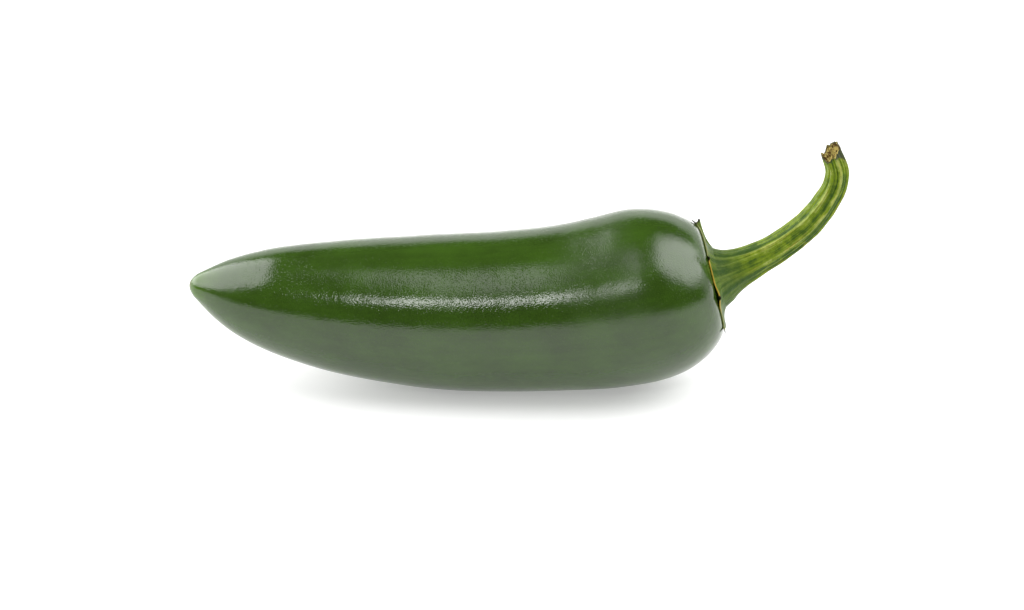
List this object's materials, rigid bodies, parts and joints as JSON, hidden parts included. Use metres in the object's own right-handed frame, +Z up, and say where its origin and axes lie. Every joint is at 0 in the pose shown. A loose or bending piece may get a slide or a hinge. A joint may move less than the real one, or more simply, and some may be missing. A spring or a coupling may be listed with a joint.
{
  "type": "chilli pepper",
  "caption": "Whole glossy green chilli pepper lying on its belly, a blunt-shouldered pod tapering to a point, with a toothed calyx and a curved, ribbed stalk torn off at its end.",
  "frame": {"origin": "on the surface that the pepper lies on, under the middle of its bounding box", "axes": "+X along the pod from its tip towards the stalk, +Z up, so the side that faces -Y is the front"},
  "size_m": [0.1232, 0.0328, 0.0492],
  "materials": {
    "pod_skin": "glossy, waxy, deep green skin, paler towards the tip",
    "stalk_skin": "satin, ribbed, yellow-green and straw streaked, dried brown at the calyx teeth and the torn end"
  },
  "bodies": {
    "root": {"pod": "pod_skin", "stem_and_calyx": "stalk_skin"}
  },
  "joints": []
}
